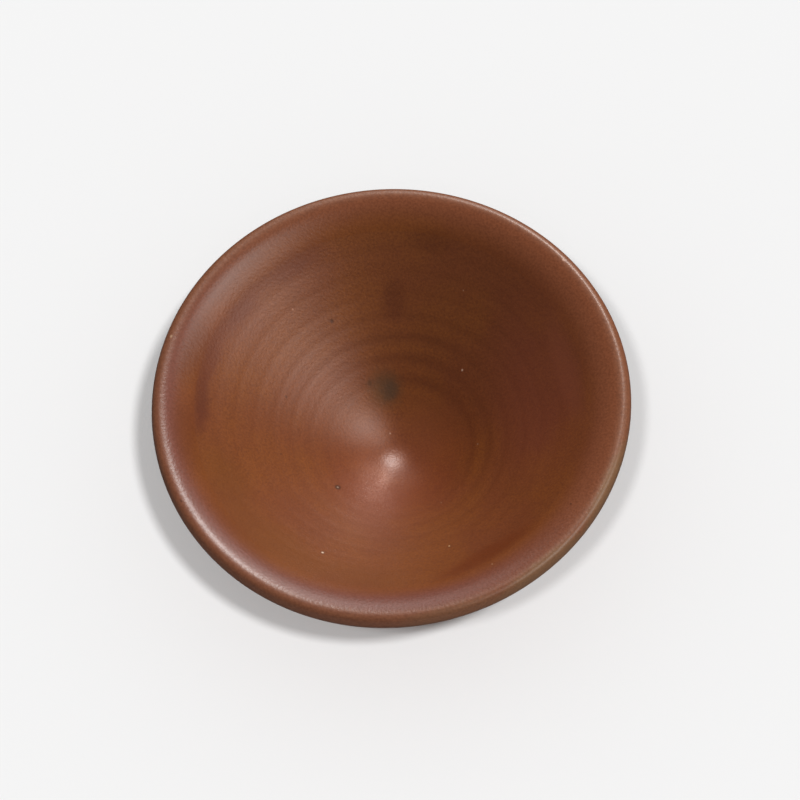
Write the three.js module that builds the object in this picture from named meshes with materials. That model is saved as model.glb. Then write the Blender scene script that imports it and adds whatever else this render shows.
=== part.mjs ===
// A conical tea bowl with an everted lip: stoneware clay thrown and turned on a wheel, set on a low foot ring
// and coated with an iron-brown glaze that stops in a thick roll above the bare foot.
// Millimetres, +Z up. The foot's resting face lies on z = 0 and the axis of throwing is the Z axis.
import * as THREE from "three";

// Driving dimensions
const RIM_RADIUS = 65; // outermost edge of the glazed lip
const HEIGHT = 48.5; // crest of the glazed lip above the table
const WELL_FLOOR = 9.6; // lowest point of the glazed inside
const WELL_RADIUS = 13; // rounding of the well at the bottom
const WELL_SLOPE = 0.45; // rise over run of the inside wall where it leaves the well
const INSIDE_SLOPE = 0.82; // rise over run of the inside wall where it reaches the lip
const OUTSIDE_SLOPE = 0.74; // rise over run of the outside wall
const WALL_DROP = 5.6; // height of clay between the inside and the outside at the neck
const FOOT_RADIUS = 17.7; // outside of the foot ring, just above its bevel
const FOOT_WIDTH = 5.1; // foot ring from its outside to its inside, between the bevels
const FOOT_BEVEL = 0.7; // both edges of the resting face
const FOOT_HEIGHT = 4.6; // resting face to the flat joint under the bowl, and so the depth of the hollow foot
const FOOT_FLARE = 0.5; // the ring widens by this much, outside and inside, from its bevels to the joint
const GLAZE = 0.6; // thickness of each even coat of glaze
const ROLL = 1.7; // thickest part of the roll that ends the outside glaze
const ROLL_TOE = 0.24; // thickness of the roll's lower edge

// Proportions of the clay, which lies one coat of glaze under the visible surface
const LIP_HALF_WIDTH = 1.2;
const LIP_HALF_HEIGHT = 2.4;
const LIP_UNDERSIDE = THREE.MathUtils.degToRad(-80); // where the round edge of the lip meets the outside wall
const FLARE_START = 53.6; // radius where the inside wall begins to turn out into the lip
const FLARE_FALL = 4.5; // fall from the crest of the lip to that radius
const NECK_START = 50; // radius where the outside wall begins to turn out under the lip
const FOOT_BEND = 27; // radius where the outside wall begins to turn down to the foot
const FOOT_BEND_DROP = 12; // fall of the outside wall from the foot bend to the top of the foot's side
const BARE_SHARE = 0.3; // share of the foot bend that is bare clay
const ROLL_SHARE = 0.6; // share of the foot bend where the roll of glaze ends and the even coat begins

// Facets
const TURNS = 48; // around the axis
const BEND_STEPS = 6; // along each bend of the outline
const LIP_STEPS = 10; // along the round edge of the lip
const SAME_POINT = 1e-6; // points of an outline closer than this are one point

const point = (radius, height) => new THREE.Vector2(radius, height);

// Where a line through p meets a line through q, each given by its slope.
function meet(p, slopeP, q, slopeQ) {
  const radius = (q.y - p.y + slopeP * p.x - slopeQ * q.x) / (slopeP - slopeQ);
  return point(radius, p.y + slopeP * (radius - p.x));
}

// The part of a bend between two shares of its length, as points.
function stretch(bend, from, to, steps) {
  const shares = Array.from({ length: steps + 1 }, (_, i) => THREE.MathUtils.lerp(from, to, i / steps));
  return shares.map((share) => bend.getPoint(share));
}

// The round edge of the lip, from its underside up to its crest.
const lipCentre = point(RIM_RADIUS - GLAZE - LIP_HALF_WIDTH, HEIGHT - GLAZE - LIP_HALF_HEIGHT);
const lipEdge = new THREE.EllipseCurve(
  lipCentre.x,
  lipCentre.y,
  LIP_HALF_WIDTH,
  LIP_HALF_HEIGHT,
  LIP_UNDERSIDE,
  Math.PI / 2,
);
const underside = lipEdge.getPoint(0);
const undersideTangent = lipEdge.getTangent(0);
const crest = lipEdge.getPoint(1);

// The inside, from the crest down the flare and the hollow wall to the rounded well.
const wellAngle = Math.atan(WELL_SLOPE);
const wellCentre = point(0, WELL_FLOOR + WELL_RADIUS);
const wellArc = new THREE.EllipseCurve(
  wellCentre.x,
  wellCentre.y,
  WELL_RADIUS + GLAZE,
  WELL_RADIUS + GLAZE,
  wellAngle - Math.PI / 2,
  -Math.PI / 2,
  true,
);
const wellEdge = wellArc.getPoint(0);
const flareEnd = point(FLARE_START, crest.y - FLARE_FALL);
const flare = new THREE.QuadraticBezierCurve(crest, meet(crest, 0, flareEnd, INSIDE_SLOPE), flareEnd);
const hollow = new THREE.QuadraticBezierCurve(
  flareEnd,
  meet(flareEnd, INSIDE_SLOPE, wellEdge, WELL_SLOPE),
  wellEdge,
);

// The outside, from the foot up the bend and the straight wall to the neck under the lip.
const insideAtNeck = flareEnd.y - INSIDE_SLOPE * (FLARE_START - NECK_START);
const neckStart = point(NECK_START, insideAtNeck - WALL_DROP);
const outsideHeight = (radius) => neckStart.y + OUTSIDE_SLOPE * (radius - NECK_START);
const undersideSlope = undersideTangent.y / undersideTangent.x;
const neck = new THREE.QuadraticBezierCurve(
  neckStart,
  meet(neckStart, OUTSIDE_SLOPE, underside, undersideSlope),
  underside,
);
const jointRadius = FOOT_RADIUS + FOOT_FLARE;
const bendTop = point(FOOT_BEND, outsideHeight(FOOT_BEND));
const bendFoot = point(jointRadius, bendTop.y - FOOT_BEND_DROP);
const footBend = new THREE.QuadraticBezierCurve(
  bendFoot,
  point(jointRadius + FOOT_FLARE, outsideHeight(jointRadius + FOOT_FLARE)),
  bendTop,
);

// The clay's outline as stretches in order, from the middle of the base, up the outside and down the inside.
const stretches = {
  base: [point(0, FOOT_HEIGHT), point(jointRadius, FOOT_HEIGHT)],
  bare: stretch(footBend, 0, BARE_SHARE, BEND_STEPS / 2),
  roll: stretch(footBend, BARE_SHARE, ROLL_SHARE, BEND_STEPS),
  outside: [...stretch(footBend, ROLL_SHARE, 1, BEND_STEPS / 2), ...stretch(neck, 0, 1, BEND_STEPS)],
  lip: [...lipEdge.getPoints(LIP_STEPS), ...flare.getPoints(BEND_STEPS)],
  inside: [...hollow.getPoints(BEND_STEPS), ...wellArc.getPoints(BEND_STEPS)],
};
stretches.inside.at(-1).x = 0;

// The stretches joined end to end, each with its first and last place in the joined outline.
const clay = [];
const span = {};
for (const [name, points] of Object.entries(stretches)) {
  const first = Math.max(clay.length - 1, 0);
  for (const p of points) {
    const isNew = !clay.length || clay.at(-1).distanceTo(p) > SAME_POINT;
    if (isNew) clay.push(p);
  }
  span[name] = [first, clay.length - 1];
}

// Outward direction of the clay's surface at a place in its outline. On the axis it points straight up.
function outward(i) {
  if (clay[i].x === 0) return point(0, 1);
  const before = clay[Math.max(i - 1, 0)];
  const after = clay[Math.min(i + 1, clay.length - 1)];
  const along = after.clone().sub(before).normalize();
  return point(along.y, -along.x);
}

// Outline of a coat laid on one stretch of the clay, with its thickness as a function of the share of it.
function coat([first, last], thickness) {
  const under = clay.slice(first, last + 1);
  const over = under.map((p, i) => {
    const share = i / (last - first);
    return p.clone().addScaledVector(outward(first + i), thickness(share));
  });
  const outline = [...under.reverse(), ...over];
  if (outline[0].x > 0) outline.push(outline[0].clone());
  return outline;
}

const evenCoat = () => GLAZE;

// The roll swells from a thin lower edge and sinks back to the thickness of the even coat.
function rollCoat(share) {
  const withoutSwell = THREE.MathUtils.lerp(ROLL_TOE, GLAZE, share);
  const swell = Math.sin(Math.PI * Math.sqrt(share));
  return withoutSwell + (ROLL - GLAZE) * swell;
}

// The foot ring's outline: resting face, outside, joint and inside.
const footInside = FOOT_RADIUS - FOOT_WIDTH;
const footRing = [
  point(footInside + FOOT_BEVEL, 0),
  point(FOOT_RADIUS - FOOT_BEVEL, 0),
  point(FOOT_RADIUS, FOOT_BEVEL),
  point(jointRadius, FOOT_HEIGHT),
  point(footInside - FOOT_FLARE, FOOT_HEIGHT),
  point(footInside, FOOT_BEVEL),
  point(footInside + FOOT_BEVEL, 0),
];

// Finishes
const finish = (color, roughness) => new THREE.MeshStandardMaterial({ color, roughness, metalness: 0 });
const stoneware = finish(0xa58a6c, 0.9);
const russetGlaze = finish(0x6f3a1d, 0.38);
const thinGlaze = finish(0x76432f, 0.42);
const pooledGlaze = finish(0x3f2012, 0.28);

// One piece turned about the Z axis from its outline.
function turned(name, outline, material) {
  const geometry = new THREE.LatheGeometry(outline, TURNS);
  geometry.rotateX(Math.PI / 2);
  const mesh = new THREE.Mesh(geometry, material);
  mesh.name = name;
  return mesh;
}

const teaBowl = new THREE.Group();
teaBowl.add(
  turned("clay_bowl", clay, stoneware),
  turned("foot_ring", footRing, stoneware),
  turned("inside_glaze", coat(span.inside, evenCoat), russetGlaze),
  turned("lip_glaze", coat(span.lip, evenCoat), thinGlaze),
  turned("outside_glaze", coat(span.outside, evenCoat), russetGlaze),
  turned("glaze_roll", coat(span.roll, rollCoat), pooledGlaze),
);

export default teaBowl;
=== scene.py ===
"""A conical tea bowl in russet iron glaze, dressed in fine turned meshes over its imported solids.

Metres, +Z up. The foot stands on z = 0 and the axis of throwing is the Z axis. Sizes in the classes are in
millimetres, as a potter would give them, and are turned to metres where a mesh or a material needs them.
A section is a cut through one side of a piece, as rings of radius and height.
"""

import logging
import math
from dataclasses import dataclass, field
from enum import Enum

import bmesh
import bpy
import numpy as np
from bpy.types import Material, Node, NodeSocket, NodeTree, Object
from mathutils import Matrix, Quaternion, Vector


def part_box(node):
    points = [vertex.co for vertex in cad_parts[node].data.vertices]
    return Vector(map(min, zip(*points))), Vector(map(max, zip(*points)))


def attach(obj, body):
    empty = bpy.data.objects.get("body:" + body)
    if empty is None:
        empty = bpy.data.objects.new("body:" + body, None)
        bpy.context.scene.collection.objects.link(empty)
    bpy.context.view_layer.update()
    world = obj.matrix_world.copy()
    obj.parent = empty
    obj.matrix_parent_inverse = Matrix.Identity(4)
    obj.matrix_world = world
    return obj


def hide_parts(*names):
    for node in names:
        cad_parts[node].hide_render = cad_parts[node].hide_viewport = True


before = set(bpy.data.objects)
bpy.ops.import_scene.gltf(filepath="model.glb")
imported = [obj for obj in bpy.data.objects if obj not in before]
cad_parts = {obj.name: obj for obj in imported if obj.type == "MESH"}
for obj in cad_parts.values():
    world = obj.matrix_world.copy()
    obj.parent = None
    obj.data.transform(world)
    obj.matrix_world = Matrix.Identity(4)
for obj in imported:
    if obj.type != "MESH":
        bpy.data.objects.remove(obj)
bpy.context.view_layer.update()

log = logging.getLogger("tea_bowl")

MM = 0.001
BODY = "root"
TURNS = 288  # points round each ring of a turned mesh
AZIMUTHS = np.linspace(0, 2 * math.pi, TURNS, endpoint=False)
ROW_STEP = 0.5  # millimetres between the rings of a visible surface
HIDDEN_STEP = 2.5  # millimetres between the rings of a surface that glaze covers
SHARP_ANGLE = math.radians(40)  # an edge that turns by more than this stays sharp

# The thrower's fingers rose through the clay in one spiral groove, and the glaze lies thicker in it
SPIRAL_PITCH = 4.9  # millimetres from one turn of the groove to the next
SPIRAL_START = -2.0  # radians, which places the groove

# The inside of the lip, and the thin glaze on it, lie a little off centre in this direction
DRIFT_AZIMUTH = math.radians(137)

# Blender's names for the kinds of node that are used most
VECTOR, MATH, NOISE = "ShaderNodeVectorMath", "ShaderNodeMath", "ShaderNodeTexNoise"
RANGE, MIX = "ShaderNodeMapRange", "ShaderNodeMix"

# Places of the colour sockets of the Mix node, which share their names with its other sockets
MIX_A, MIX_B, MIX_RESULT = 6, 7, 2

Colour = tuple[float, float, float, float]
Layer = tuple[NodeSocket, Colour | NodeSocket]


def linear(hex_colour: str) -> Colour:
    """Turn an sRGB hex colour into linear light, along the sRGB curve.

    Args:
        hex_colour: six hex digits after a hash sign.

    Returns:
        Red, green, blue and an alpha of 1.
    """
    channels = [int(hex_colour[i:i + 2], 16) / 255 for i in (1, 3, 5)]
    bent = [c / 12.92 if c <= 0.04045 else ((c + 0.055) / 1.055) ** 2.4 for c in channels]
    return (*bent, 1.0)


def smooth_step(low: float, high: float, value: np.ndarray) -> np.ndarray:
    """Rise smoothly from 0 at low to 1 at high.

    Args:
        low: value where the rise begins.
        high: value where the rise ends.
        value: where to look.

    Returns:
        The height of the rise, 0 to 1.
    """
    share = np.clip((value - low) / (high - low), 0.0, 1.0)
    return share * share * (3 - 2 * share)


def between(rise: tuple[float, float], fall: tuple[float, float], value: np.ndarray) -> np.ndarray:
    """Rise smoothly from 0 to 1 over one stretch and fall back to 0 over another.

    Args:
        rise: where the rise begins and ends.
        fall: where the fall begins and ends.
        value: where to look.

    Returns:
        The height, 0 to 1.
    """
    return smooth_step(*rise, value) * (1 - smooth_step(*fall, value))


def bend(start: np.ndarray, corner: np.ndarray, end: np.ndarray, steps: int) -> np.ndarray:
    """Trace a bend that leaves its start and reaches its end along the two sides of a corner.

    Args:
        start: first point.
        corner: where the two sides meet.
        end: last point.
        steps: number of steps along the bend.

    Returns:
        The points of the bend.
    """
    t = np.linspace(0, 1, steps + 1)[:, None]
    return (1 - t) ** 2 * start + 2 * t * (1 - t) * corner + t ** 2 * end


def meet(p: np.ndarray, slope_p: float, q: np.ndarray, slope_q: float) -> np.ndarray:
    """Find where a line through p meets a line through q.

    Args:
        p: point on the first line.
        slope_p: rise over run of the first line.
        q: point on the second line.
        slope_q: rise over run of the second line.

    Returns:
        The meeting point.
    """
    radius = (q[1] - p[1] + slope_p * p[0] - slope_q * q[0]) / (slope_p - slope_q)
    return np.array([radius, p[1] + slope_p * (radius - p[0])])


def evenly(first: float, last: float, step: float) -> np.ndarray:
    """Space places evenly from first to last, no further apart than step.

    Args:
        first: the first place.
        last: the last place.
        step: the widest distance between places.

    Returns:
        The places.
    """
    return np.linspace(first, last, math.ceil(abs(last - first) / step) + 1)


def feed(tree: NodeTree, node: Node, sockets: dict) -> None:
    """Set or link the inputs of a node.

    Args:
        tree: the node's tree.
        node: the node to feed.
        sockets: input name or place to a value, or to the output socket that feeds it.
    """
    for name, value in sockets.items():
        if isinstance(value, NodeSocket):
            tree.links.new(value, node.inputs[name])
        else:
            node.inputs[name].default_value = value


def add_node(tree: NodeTree, kind: str, sockets: dict | None = None, **settings) -> Node:
    """Add a node with its settings, its socket values and its links.

    Args:
        tree: the node tree to add to.
        kind: the node's type name.
        sockets: input name or place to a value, or to the output socket that feeds it.
        settings: the node's own properties.

    Returns:
        The new node.
    """
    node = tree.nodes.new(kind)
    for name, value in settings.items():
        setattr(node, name, value)
    feed(tree, node, sockets or {})
    return node


class Ease(Enum):
    """How a change of the glaze sets in, by Blender's names."""

    STRAIGHT = "LINEAR"
    SMOOTH = "SMOOTHSTEP"


class Stretch(Enum):
    """The stretches of the clay's outline, in order from the foot joint to the middle of the well."""

    BARE = "bare clay above the foot"
    ROLL = "roll of run glaze"
    OUTSIDE = "outside wall"
    LIP = "lip"
    INSIDE = "inside wall and well"


@dataclass
class ClayOutline:
    """The clay's outline as radius and height, from the foot joint up the outside and down to the well.

    Slopes are rise over run. The even coats of glaze lie on this outline.
    """

    rim_radius: float  # outermost edge of the glazed lip
    height: float  # crest of the glazed lip
    joint_height: float  # flat joint of the foot ring under the wall
    joint_radius: float
    glaze: float = 0.6  # thickness of an even coat
    well_floor: float = 9.6  # lowest point of the glazed inside, before the thumb pressed it
    well_radius: float = 13.0  # rounding of the well
    well_slope: float = 0.45  # inside wall where it leaves the well
    inside_slope: float = 0.82  # inside wall where it reaches the lip
    outside_slope: float = 0.74
    wall_drop: float = 5.6  # height of clay between the inside and the outside at the neck
    foot_flare: float = 0.5  # the bare clay leans out by this much above the joint
    lip_half_width: float = 1.0
    lip_half_height: float = 2.4
    lip_underside: float = math.radians(-80)  # where the round edge of the lip meets the outside wall
    flare_start: float = 53.6  # radius where the inside wall begins to turn out into the lip
    flare_fall: float = 4.8  # fall from the crest of the lip to that radius
    neck_start: float = 50.0  # radius where the outside wall begins to turn out under the lip
    foot_bend: float = 27.0  # radius where the outside wall begins to turn down to the foot
    foot_bend_drop: float = 12.0  # fall of that bend
    bare_share: float = 0.3  # share of the foot bend that is bare clay
    roll_share: float = 0.6  # share of the foot bend where the roll of glaze ends
    melt: float = 0.6  # reach over which wet fingers and melting glaze round the edges off
    melt_steps: int = 10  # points along that reach
    steps: int = 400  # points along each bend
    span: dict[Stretch, tuple[float, float]] = field(init=False, default_factory=dict)

    def __post_init__(self) -> None:
        """Trace the stretches, and keep where each begins and ends along the whole outline."""
        points = np.array([[self.joint_radius, self.joint_height]])
        reached = 0.0
        for stretch, traced in self._stretches().items():
            points = np.vstack([points, traced])
            length = float(np.linalg.norm(np.diff(points, axis=0), axis=1).sum())
            self.span[stretch] = (reached, length)
            reached = length
        steps = np.linalg.norm(np.diff(points, axis=0), axis=1)
        moved = np.concatenate([[True], steps > 0])
        self._points = points[moved]
        self._lengths = np.concatenate([[0.0], np.cumsum(steps)])[moved]
        self._melt()
        along = np.gradient(self._points, self._lengths, axis=0)
        along /= np.linalg.norm(along, axis=1)[:, None]
        self._normals = np.stack([along[:, 1], -along[:, 0]], axis=1)

    def _melt(self) -> None:
        """Round the outline off over the reach of the melt, and keep its lengths."""
        places = evenly(0.0, self._lengths[-1], self.melt / self.melt_steps)
        fine = np.stack([np.interp(places, self._lengths, self._points[:, i]) for i in (0, 1)], axis=1)
        half = 3 * self.melt_steps
        kernel = np.exp(-0.5 * (np.arange(-half, half + 1) / self.melt_steps) ** 2)
        kernel /= kernel.sum()
        padded = np.vstack([2 * fine[0] - fine[half:0:-1], fine, 2 * fine[-1] - fine[-2:-half - 2:-1]])
        soft = [np.convolve(padded[:, i], kernel, mode="valid") for i in (0, 1)]
        self._points = np.stack(soft, axis=1)
        self._lengths = places

    def _stretches(self) -> dict[Stretch, np.ndarray]:
        """Trace each stretch from the driving sizes.

        Returns:
            The points of each stretch, in order, without the point where the one before it ends.
        """
        lip_centre = np.array([
            self.rim_radius - self.glaze - self.lip_half_width,
            self.height - self.glaze - self.lip_half_height,
        ])
        turn = np.linspace(self.lip_underside, math.pi / 2, self.steps)
        lip_size = np.array([self.lip_half_width, self.lip_half_height])
        lip_edge = lip_centre + np.stack([np.cos(turn), np.sin(turn)], axis=1) * lip_size
        underside_run, underside_rise = lip_edge[1] - lip_edge[0]
        crest = lip_edge[-1]

        well_turn = np.linspace(math.atan(self.well_slope), 0, self.steps)
        well_curve = np.stack([np.sin(well_turn), -np.cos(well_turn)], axis=1)
        well_centre = np.array([0.0, self.well_floor + self.well_radius])
        well = well_centre + well_curve * (self.well_radius + self.glaze)
        flare_end = np.array([self.flare_start, crest[1] - self.flare_fall])
        flare = bend(crest, meet(crest, 0, flare_end, self.inside_slope), flare_end, self.steps)
        hollow_corner = meet(flare_end, self.inside_slope, well[0], self.well_slope)
        hollow = bend(flare_end, hollow_corner, well[0], self.steps)

        inside_at_neck = flare_end[1] - self.inside_slope * (self.flare_start - self.neck_start)
        neck_foot = np.array([self.neck_start, inside_at_neck - self.wall_drop])
        neck_corner = meet(neck_foot, self.outside_slope, lip_edge[0], underside_rise / underside_run)
        neck = bend(neck_foot, neck_corner, lip_edge[0], self.steps)
        outside_run = np.array([1.0, self.outside_slope])
        bend_top = neck_foot + (self.foot_bend - self.neck_start) * outside_run
        bend_foot = np.array([self.joint_radius, bend_top[1] - self.foot_bend_drop])
        bend_corner = neck_foot + (self.joint_radius + self.foot_flare - self.neck_start) * outside_run
        foot_bend = bend(bend_foot, bend_corner, bend_top, self.steps)
        bare_end = round(self.bare_share * self.steps) + 1
        roll_end = round(self.roll_share * self.steps) + 1
        return {
            Stretch.BARE: foot_bend[:bare_end],
            Stretch.ROLL: foot_bend[bare_end:roll_end],
            Stretch.OUTSIDE: np.vstack([foot_bend[roll_end:], neck]),
            Stretch.LIP: np.vstack([lip_edge[1:], flare[1:]]),
            Stretch.INSIDE: np.vstack([hollow[1:], well[1:]]),
        }

    def at(self, lengths: np.ndarray) -> tuple[np.ndarray, np.ndarray]:
        """Look up places along the outline.

        Args:
            lengths: distances from the foot joint along the outline, of any shape.

        Returns:
            The points and the outward directions there, with radius and height on the last axis.
        """
        points = [np.interp(lengths, self._lengths, self._points[:, i]) for i in (0, 1)]
        normals = [np.interp(lengths, self._lengths, self._normals[:, i]) for i in (0, 1)]
        return np.stack(points, axis=-1), np.stack(normals, axis=-1)

    def rows(self, stretch: Stretch, step: float = ROW_STEP) -> np.ndarray:
        """Space rings evenly along a stretch and give their distances along the outline."""
        return evenly(*self.span[stretch], step)


@dataclass(frozen=True)
class ThrowingMarks:
    """Relief that fingers and ribs left in the clay on the wheel, softened by the glaze over it.

    A rise and a fall are the radii over which marks set in and fade out.
    """

    groove_height: float = 0.012  # half the depth of the spiral groove, without the ridges in it
    echo_share: float = 0.5  # height of those ridges, two to a turn, as a share of the groove's
    echo_start: float = 1.1  # radians, which places those ridges
    ring_height: float = 0.003  # half the depth of the fine rings
    ring_pitch: float = 2.6
    ring_sway: float = 0.7  # radians by which the fine rings wander
    inside_rise: tuple[float, float] = (8.0, 26.0)
    inside_fall: tuple[float, float] = (48.0, 52.5)
    thumb_radius: float = 12.0  # the last press of the thumb left a flat, slightly tilted spot in the well
    thumb_flatness: float = 0.015  # its depth over the square of the radius, near the axis
    thumb_tilt: float = 0.10  # fall over run
    thumb_azimuth: float = math.radians(36)
    dimple_depth: float = 0.22  # a fingertip left a shallow dimple beside it
    dimple_radius: float = 2.8
    dimple_away: float = 9.4  # from the axis
    dimple_azimuth: float = math.radians(244)
    rib_height: float = 0.05  # half the depth of the ribs outside
    rib_pitch: float = 5.2
    fine_rib_share: float = 0.4
    fine_rib_pitch: float = 2.3
    outside_rise: tuple[float, float] = (22.0, 28.0)
    outside_fall: tuple[float, float] = (54.0, 61.0)
    drift: float = 0.4  # the inside of the lip turns out this far off centre
    drift_rise: tuple[float, float] = (44.0, 53.0)
    drift_fall: tuple[float, float] = (56.0, 62.0)
    wobble: float = 0.18  # the rim strays from a circle by this much
    wobble_waves: int = 3

    def inside(self, radius: np.ndarray) -> np.ndarray:
        """Give the height of the marks on the inside wall, which fade out in the well and on the lip.

        Args:
            radius: distance from the axis, with one column for all azimuths.

        Returns:
            Heights, one column for each azimuth.
        """
        turn = 2 * math.pi * radius
        wound = turn / SPIRAL_PITCH + AZIMUTHS
        groove = self.echo_share * np.sin(2 * wound + self.echo_start) - np.cos(wound + SPIRAL_START)
        rings = np.sin(turn / self.ring_pitch + 2 * AZIMUTHS + self.ring_sway * np.sin(2 * AZIMUTHS))
        fade = between(self.inside_rise, self.inside_fall, radius)
        return (self.groove_height * groove + self.ring_height * rings) * fade

    def pressed(self, radius: np.ndarray) -> np.ndarray:
        """Give the height of the clay in the well over its plain outline, where the thumb pressed it.

        Args:
            radius: distance from the axis, with one column for all azimuths.

        Returns:
            Heights, one column for each azimuth.
        """
        falling = self.thumb_tilt * radius * np.cos(AZIMUTHS - self.thumb_azimuth)
        thumb = (falling + self.thumb_flatness * radius ** 2) * np.exp(-(radius / self.thumb_radius) ** 2)
        turn = AZIMUTHS - self.dimple_azimuth
        from_dimple = radius ** 2 + self.dimple_away ** 2 - 2 * radius * self.dimple_away * np.cos(turn)
        return -thumb - self.dimple_depth * np.exp(-from_dimple / self.dimple_radius ** 2)

    def outside(self, radius: np.ndarray) -> np.ndarray:
        """Give the height of the ribs on the outside wall, which fade out at the lip and above the roll.

        Args:
            radius: distance from the axis, with one column for all azimuths.

        Returns:
            Heights, one column for each azimuth.
        """
        turn = 2 * math.pi * radius
        fine_ribs = np.sin(turn / self.fine_rib_pitch + 2 * AZIMUTHS)
        ribs = np.sin(turn / self.rib_pitch + AZIMUTHS) + self.fine_rib_share * fine_ribs
        return self.rib_height * ribs * between(self.outside_rise, self.outside_fall, radius)

    def off_centre(self, radius: np.ndarray) -> np.ndarray:
        """Give how far the inside of the lip lies out of its plain place, away from the axis.

        Args:
            radius: distance from the axis, with one column for all azimuths.

        Returns:
            Distances, one column for each azimuth.
        """
        share = between(self.drift_rise, self.drift_fall, radius)
        return self.drift * share * np.cos(AZIMUTHS - DRIFT_AZIMUTH)

    def astray(self, section: np.ndarray, rim_radius: float) -> np.ndarray:
        """Push a section out of round, most at the rim.

        Args:
            section: (ring, turn, radius and height).
            rim_radius: where the wobble is at its full size.

        Returns:
            The section with its radii changed.
        """
        share = (section[..., 0] / rim_radius) ** 2
        strayed = section.copy()
        strayed[..., 0] += self.wobble * share * np.cos(self.wobble_waves * AZIMUTHS)
        return strayed


def turned_mesh(name: str, section: np.ndarray, on_axis: bool) -> Object:
    """Make a closed, smooth mesh from the rings of a section.

    Args:
        name: the piece's name.
        section: (ring, turn, radius and height) in millimetres, in order round the section.
        on_axis: True where the first and the last ring are points on the axis, and False where the last
            ring joins the first.

    Returns:
        The new object.
    """
    radius, height = section[..., 0], section[..., 1]
    points = np.stack([radius * np.cos(AZIMUTHS), radius * np.sin(AZIMUTHS), height], axis=-1) * MM
    place = np.arange(radius.size).reshape(radius.shape)
    if on_axis:
        place[0] = place[0, 0]
        place[-1] = place[-1, 0]
        low, high = place[:-1], place[1:]
    else:
        low, high = place, np.roll(place, -1, axis=0)
    corners = [low, np.roll(low, -1, axis=1), np.roll(high, -1, axis=1), high]
    quads = np.stack(corners, axis=-1).reshape(-1, 4)
    faces = [list(dict.fromkeys(quad)) for quad in quads.tolist()]
    mesh = bpy.data.meshes.new(name)
    mesh.from_pydata(points.reshape(-1, 3).tolist(), [], faces)
    built = bmesh.new()
    built.from_mesh(mesh)
    bmesh.ops.delete(built, geom=[v for v in built.verts if not v.link_faces], context="VERTS")
    bmesh.ops.recalc_face_normals(built, faces=built.faces)
    built.to_mesh(mesh)
    built.free()
    mesh.polygons.foreach_set("use_smooth", [True] * len(mesh.polygons))
    mesh.set_sharp_from_angle(angle=SHARP_ANGLE)
    piece = bpy.data.objects.new(name, mesh)
    bpy.context.scene.collection.objects.link(piece)
    return piece


def hand_over(piece: Object, node: str, material: Material) -> Object:
    """Dress a piece, put it in place of its solid and report it.

    Args:
        piece: the finished piece.
        node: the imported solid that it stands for.
        material: the piece's finish.

    Returns:
        The same piece.
    """
    piece.data.materials.append(material)
    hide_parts(node)
    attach(piece, BODY)
    log.info("%s: %d faces, stands for %s", piece.name, len(piece.data.polygons), node)
    return piece


@dataclass(frozen=True)
class Mark:
    """An oval mark in the glaze, placed by its direction and distance from the axis."""

    azimuth: float  # degrees from +X towards +Y
    radius: float
    across: float  # half its size towards the axis
    along: float  # half its size round the bowl
    colour: str
    strength: float  # share of its colour in the middle


# Wide zones of tone in the glaze: redder, amber, darker and lighter patches, among them painted shade on the
# far wall and painted light on the right wall under the lip
TONE_AND_PAINTED_LIGHT_ZONES = (
    # Redder on the right wall, a darker band on the inside of the lip, and a lighter patch near the well
    Mark(4, 41.0, 18.0, 40.0, "#7a3a2e", 0.35),
    Mark(132, 56.0, 4.5, 14.0, "#5a2a18", 0.34),
    Mark(156, 56.0, 4.5, 15.0, "#5a2a18", 0.58),
    Mark(183, 56.0, 4.5, 16.0, "#5a2a18", 0.4),
    Mark(216, 55.0, 3.8, 18.0, "#5a2a18", 0.25),
    Mark(25, 13.0, 10.0, 17.0, "#8f4f2a", 0.45),
    # Painted light: lighter on the right wall under the lip, where light falls more strongly
    Mark(8, 49.0, 5.0, 24.0, "#8a4a34", 0.35),
    # Painted shade: the far wall darker, where less light reaches it
    Mark(70, 42.0, 20.0, 38.0, "#64341a", 0.2),
    # Redder near the well at the front, and amber patches at the front left
    Mark(262, 8.0, 26.0, 26.0, "#7c3527", 0.32),
    Mark(198, 48.5, 9.0, 20.0, "#693a0d", 0.42),
    Mark(226, 49.0, 9.0, 22.0, "#693a0d", 0.42),
    Mark(252, 49.0, 8.0, 20.0, "#6c3c0e", 0.38),
)

# Smudges: maroon under the lip and on the wall, and a grey-green spot of reduced iron; and a paler olive
# edge on the lip, partly its own tint and partly painted light
SMUDGES_AND_PAINTED_LIGHT = (
    Mark(84, 38.4, 7.0, 5.0, "#4a1c10", 0.40),
    Mark(72, 52.0, 4.0, 10.0, "#4a1c10", 0.30),
    Mark(172, 51.5, 2.8, 12.0, "#4c1d16", 0.58),
    Mark(295, 50.0, 4.2, 22.0, "#642806", 0.6),
    Mark(118, 51.5, 3.2, 14.0, "#561f16", 0.45),
    Mark(138, 51.5, 3.2, 14.0, "#561f16", 0.6),
    Mark(157, 51.8, 3.2, 14.0, "#561f16", 0.6),
    # Paler olive on the outer edge of the lip at the front right: partly its own tint, partly painted light
    # where the right side is lit
    Mark(280, 64.0, 2.6, 26.0, "#7f6c4a", 0.15),
    Mark(304, 64.0, 2.6, 26.0, "#7f6c4a", 0.35),
    Mark(330, 64.0, 2.6, 26.0, "#7f6c4a", 0.38),
    # The grey-green spot of reduced iron, with a dark speck beside it
    Mark(93, 18.2, 6.4, 6.6, "#47402e", 0.5),
    Mark(89, 17.5, 3.2, 3.2, "#38362e", 0.45),
    Mark(104.8, 20.3, 1.0, 1.0, "#2d2618", 0.5),
)

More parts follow.
